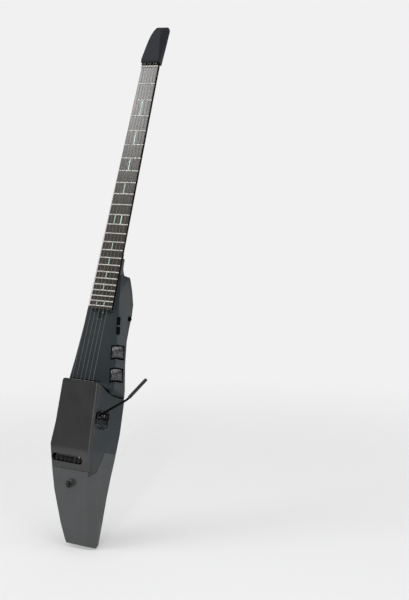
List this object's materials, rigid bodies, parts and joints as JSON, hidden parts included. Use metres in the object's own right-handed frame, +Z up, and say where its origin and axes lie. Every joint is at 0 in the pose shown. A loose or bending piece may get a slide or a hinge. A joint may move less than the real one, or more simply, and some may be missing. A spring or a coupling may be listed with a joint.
{
  "type": "midi guitar",
  "caption": "Headless guitar-shaped MIDI controller with a faceted grey body, fretted neck, drum wheels, push buttons, tuning knobs and a tremolo arm.",
  "frame": {"origin": "middle of the nut on the fingerboard's face, where a hanger carries the neck", "axes": "+Z up along the neck, -Y out of the front, +X towards the treble side"},
  "size_m": [0.2361, 0.114, 1.0204],
  "materials": {
    "housing": "fine satin moulded plastic",
    "cover": "fine satin moulded plastic",
    "tail": "fine satin moulded plastic, a lighter grey",
    "rear": "satin moulded plastic",
    "neck": "satin black",
    "board": "dark satin, like ebony",
    "nut": "ivory",
    "lock": "black",
    "head": "satin",
    "sensor": "black",
    "bridge": "dark grey",
    "rail": "dark grey",
    "wheel": "ribbed grey",
    "axle": "turned steel",
    "button": "black",
    "drum": "black",
    "arm": "satin black",
    "strap_button": "turned steel",
    "jack": "black",
    "socket": "black",
    "fret": "bright",
    "string": "plain steel",
    "tuner": "black"
  },
  "bodies": {
    "housing": {"body_housing": "housing", "bridge_cover": "cover", "tail_cap": "tail", "rear_cover": "rear", "neck": "neck", "fingerboard": "board", "nut": "nut", "string_lock": "lock", "head_cap": "head", "string_sensor": "sensor", "bridge_block": "bridge", "tuner_rail": "rail", "wheel_axle_upper": "axle", "wheel_axle_lower": "axle", "strap_button_tail": "strap_button", "strap_button_horn": "strap_button", "breath_jack": "jack", "cable_socket": "socket", "fret_01": "fret", "fret_02": "fret", "fret_03": "fret", "fret_04": "fret", "fret_05": "fret", "fret_06": "fret", "fret_07": "fret", "fret_08": "fret", "fret_09": "fret", "fret_10": "fret", "fret_11": "fret", "fret_12": "fret", "fret_13": "fret", "fret_14": "fret", "fret_15": "fret", "fret_16": "fret", "fret_17": "fret", "fret_18": "fret", "fret_19": "fret", "fret_20": "fret", "fret_21": "fret", "fret_22": "fret", "fret_23": "fret", "fret_24": "fret", "string_1": "string", "string_2": "string", "string_3": "string", "string_4": "string", "string_5": "string", "string_6": "string"},
    "wheel_upper": {"wheel_upper": "wheel"},
    "wheel_lower": {"wheel_lower": "wheel"},
    "button_upper": {"button_upper": "button"},
    "button_lower": {"button_lower": "button"},
    "tremolo": {"tremolo_drum": "drum"},
    "arm": {"tremolo_arm": "arm"},
    "tuner_1": {"tuner_knob_1": "tuner"},
    "tuner_2": {"tuner_knob_2": "tuner"},
    "tuner_3": {"tuner_knob_3": "tuner"},
    "tuner_4": {"tuner_knob_4": "tuner"},
    "tuner_5": {"tuner_knob_5": "tuner"},
    "tuner_6": {"tuner_knob_6": "tuner"}
  },
  "joints": [
    {"name": "wheel_upper_turn", "type": "hinge", "parent": "housing", "child": "wheel_upper", "pos_m": [0.0522, 0.01339, -0.57073], "axis": [-0.1687, 0, 0.9857], "range_deg": [-135, 135]},
    {"name": "wheel_lower_turn", "type": "hinge", "parent": "housing", "child": "wheel_lower", "pos_m": [0.05979, 0.01339, -0.61358], "axis": [-0.1794, 0, 0.9838], "range_deg": [-135, 135]},
    {"name": "button_upper_press", "type": "slide", "parent": "housing", "child": "button_upper", "axis": [-0.3954, 0.9158, -0.0698], "range_m": [0, 0.0012], "stiffness_N_per_m": 400, "springref_m": -0.001},
    {"name": "button_lower_press", "type": "slide", "parent": "housing", "child": "button_lower", "axis": [-0.3952, 0.9159, -0.0706], "range_m": [0, 0.0012], "stiffness_N_per_m": 400, "springref_m": -0.001},
    {"name": "tremolo_rock", "type": "hinge", "parent": "housing", "child": "tremolo", "pos_m": [0.0478, 0.00882, -0.69241], "axis": [-0.5085, -0.8573, -0.0811], "range_deg": [-8, 8], "stiffness_Nm_per_rad": 3},
    {"name": "arm_swing", "type": "hinge", "parent": "tremolo", "child": "arm", "pos_m": [0.05019, -0.00243, -0.69321], "axis": [0.8606, -0.5091, -0.0145], "range_deg": [-100, 60]},
    {"name": "tuner_1_turn", "type": "hinge", "parent": "housing", "child": "tuner_1", "pos_m": [-0.03225, 0.0053, -0.78023], "axis": [0, -0.3544, 0.9351], "continuous": true},
    {"name": "tuner_2_turn", "type": "hinge", "parent": "housing", "child": "tuner_2", "pos_m": [-0.02175, 0.0053, -0.78023], "axis": [0, -0.3544, 0.9351], "continuous": true},
    {"name": "tuner_3_turn", "type": "hinge", "parent": "housing", "child": "tuner_3", "pos_m": [-0.01125, 0.0053, -0.78023], "axis": [0, -0.3544, 0.9351], "continuous": true},
    {"name": "tuner_4_turn", "type": "hinge", "parent": "housing", "child": "tuner_4", "pos_m": [-0.00075, 0.0053, -0.78023], "axis": [0, -0.3544, 0.9351], "continuous": true},
    {"name": "tuner_5_turn", "type": "hinge", "parent": "housing", "child": "tuner_5", "pos_m": [0.00975, 0.0053, -0.78023], "axis": [0, -0.3544, 0.9351], "continuous": true},
    {"name": "tuner_6_turn", "type": "hinge", "parent": "housing", "child": "tuner_6", "pos_m": [0.02025, 0.0053, -0.78023], "axis": [0, -0.3544, 0.9351], "continuous": true}
  ]
}
